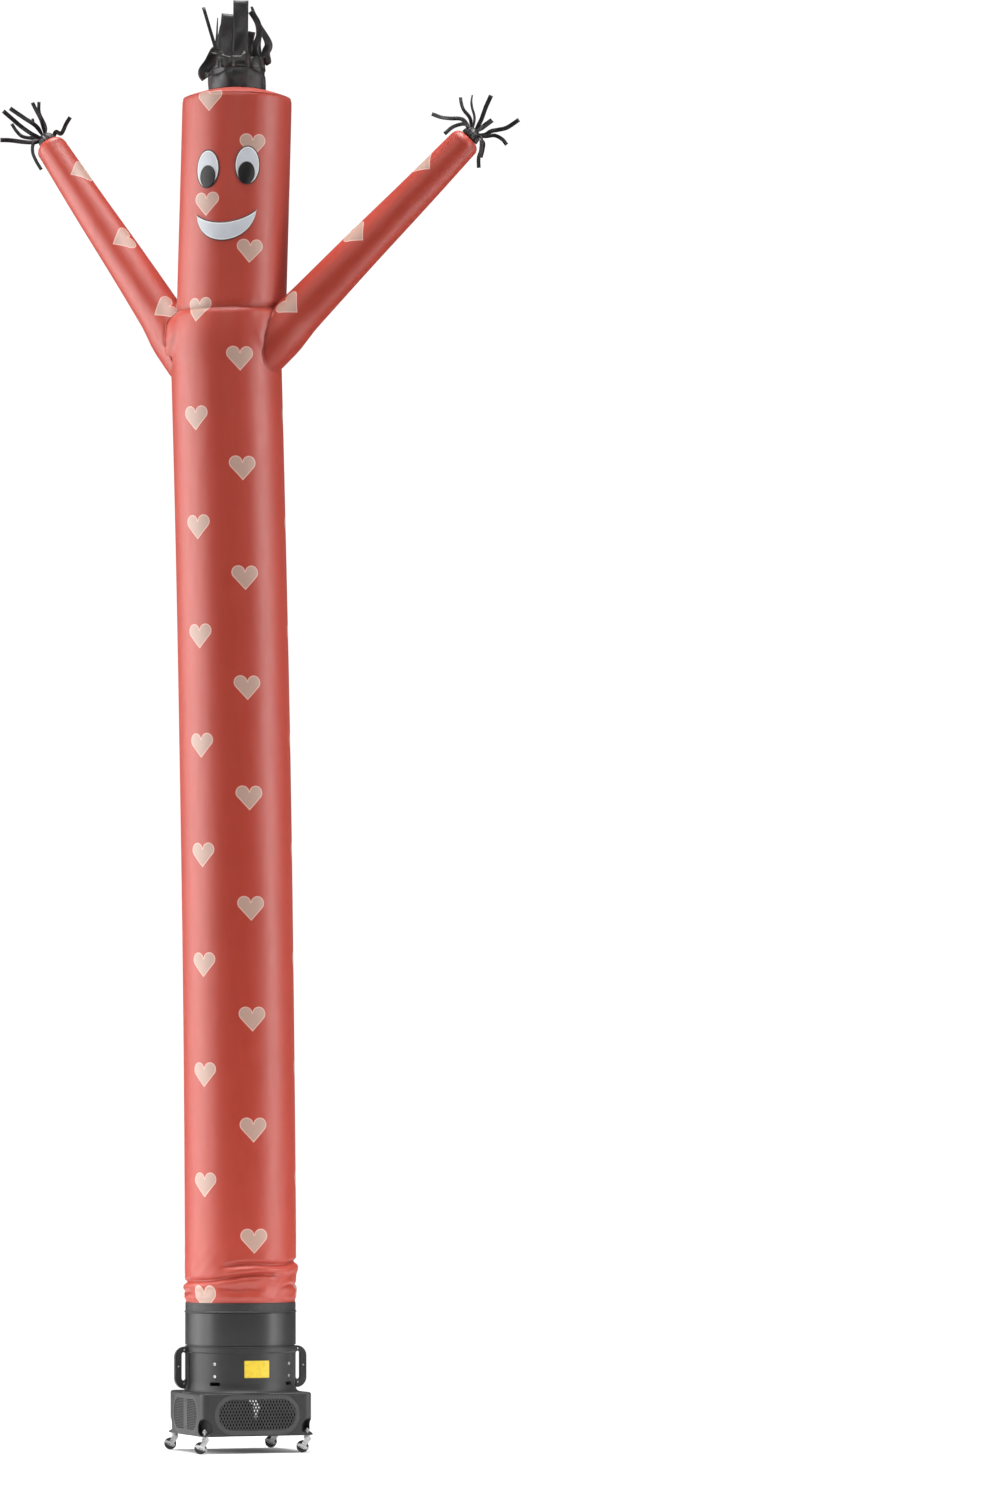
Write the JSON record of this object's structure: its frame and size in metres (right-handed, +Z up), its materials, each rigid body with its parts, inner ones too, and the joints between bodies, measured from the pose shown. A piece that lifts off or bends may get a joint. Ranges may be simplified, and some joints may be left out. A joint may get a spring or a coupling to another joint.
{
  "type": "inflatable air dancer on its blower",
  "caption": "Tall inflatable cloth figure with a smiling face, raised arms and satin tufts, banded to the round collar of a square blower on casters.",
  "frame": {"origin": "on the floor, under the middle of the whole object's outline", "axes": "+Z up the tube, -Y the way the face looks, +X to the right of someone facing it"},
  "size_m": [2.1118, 0.7439, 5.9331],
  "materials": {
    "red_cloth": "satin-woven nylon, printed with pale hearts",
    "white_cloth": "plain woven, matt",
    "black_cloth": "plain woven, matt",
    "black_satin": "soft satin sheen",
    "collar_plastic": "smooth, semi-matt",
    "case_plastic": "finely grained",
    "plate_yellow": "plain satin enamel",
    "zinc_steel": "bright zinc plate",
    "wheel_rubber": "matt black"
  },
  "bodies": {
    "blower_and_dancer": {"arm_left": "red_cloth", "arm_right": "red_cloth", "body_tube": "red_cloth", "head_tube": "red_cloth", "head_cap": "red_cloth", "eye_left": "white_cloth", "eye_right": "white_cloth", "smile": "white_cloth", "pupil_left": "black_cloth", "pupil_right": "black_cloth", "hem_band": "black_cloth", "hair_skirt": "black_satin", "hair_strips": "black_satin", "hand_tuft_left": "black_satin", "hand_tuft_right": "black_satin", "duct_collar": "collar_plastic", "housing": "case_plastic", "grille_front": "case_plastic", "grille_right": "case_plastic", "grille_back": "case_plastic", "grille_left": "case_plastic", "handle_right": "case_plastic", "handle_left": "case_plastic", "maker_plate": "plate_yellow", "drum_bolt_1": "zinc_steel", "drum_bolt_2": "zinc_steel", "drum_bolt_3": "zinc_steel", "drum_bolt_4": "zinc_steel", "drum_bolt_5": "zinc_steel", "drum_bolt_6": "zinc_steel", "drum_bolt_7": "zinc_steel", "drum_bolt_8": "zinc_steel", "stem_front_left": "zinc_steel", "stem_front_right": "zinc_steel", "stem_rear_left": "zinc_steel", "stem_rear_right": "zinc_steel"},
    "caster_front_left": {"fork_front_left": "zinc_steel"},
    "roller_front_left": {"wheel_front_left": "wheel_rubber"},
    "pedal_front_left": {"brake_front_left": "zinc_steel"},
    "caster_front_right": {"fork_front_right": "zinc_steel"},
    "roller_front_right": {"wheel_front_right": "wheel_rubber"},
    "pedal_front_right": {"brake_front_right": "zinc_steel"},
    "caster_rear_left": {"fork_rear_left": "zinc_steel"},
    "roller_rear_left": {"wheel_rear_left": "wheel_rubber"},
    "pedal_rear_left": {"brake_rear_left": "zinc_steel"},
    "caster_rear_right": {"fork_rear_right": "zinc_steel"},
    "roller_rear_right": {"wheel_rear_right": "wheel_rubber"},
    "pedal_rear_right": {"brake_rear_right": "zinc_steel"}
  },
  "joints": [
    {"name": "swivel_front_left", "type": "hinge", "parent": "blower_and_dancer", "child": "caster_front_left", "pos_m": [-0.21195, -0.34807, 0.06], "axis": [0, 0, 1], "continuous": true},
    {"name": "roll_front_left", "type": "hinge", "parent": "caster_front_left", "child": "roller_front_left", "pos_m": [-0.22985, -0.34995, 0.02469], "axis": [-0.1045, 0.9945, 0], "continuous": true},
    {"name": "brake_front_left", "type": "hinge", "parent": "caster_front_left", "child": "pedal_front_left", "pos_m": [-0.22985, -0.34995, 0.02469], "axis": [0.1045, -0.9945, 0], "range_deg": [0, 18]},
    {"name": "swivel_front_right", "type": "hinge", "parent": "blower_and_dancer", "child": "caster_front_right", "pos_m": [0.19927, -0.22235, 0.06], "axis": [0, 0, 1], "continuous": true},
    {"name": "roll_front_right", "type": "hinge", "parent": "caster_front_right", "child": "roller_front_right", "pos_m": [0.18131, -0.22109, 0.02469], "axis": [0.0698, 0.9976, 0], "continuous": true},
    {"name": "brake_front_right", "type": "hinge", "parent": "caster_front_right", "child": "pedal_front_right", "pos_m": [0.18131, -0.22109, 0.02469], "axis": [-0.0698, -0.9976, 0], "range_deg": [0, 18]},
    {"name": "swivel_rear_left", "type": "hinge", "parent": "blower_and_dancer", "child": "caster_rear_left", "pos_m": [-0.33767, 0.06315, 0.06], "axis": [0, 0, 1], "continuous": true},
    {"name": "roll_rear_left", "type": "hinge", "parent": "caster_rear_left", "child": "roller_rear_left", "pos_m": [-0.35562, 0.06189, 0.02469], "axis": [-0.0698, 0.9976, 0], "continuous": true},
    {"name": "brake_rear_left", "type": "hinge", "parent": "caster_rear_left", "child": "pedal_rear_left", "pos_m": [-0.35562, 0.06189, 0.02469], "axis": [0.0698, -0.9976, 0], "range_deg": [0, 18]},
    {"name": "swivel_rear_right", "type": "hinge", "parent": "blower_and_dancer", "child": "caster_rear_right", "pos_m": [0.07355, 0.18887, 0.06], "axis": [0, 0, 1], "continuous": true},
    {"name": "roll_rear_right", "type": "hinge", "parent": "caster_rear_right", "child": "roller_rear_right", "pos_m": [0.05572, 0.19137, 0.02469], "axis": [0.1392, 0.9903, 0], "continuous": true},
    {"name": "brake_rear_right", "type": "hinge", "parent": "caster_rear_right", "child": "pedal_rear_right", "pos_m": [0.05572, 0.19137, 0.02469], "axis": [-0.1392, -0.9903, 0], "range_deg": [0, 18]}
  ]
}
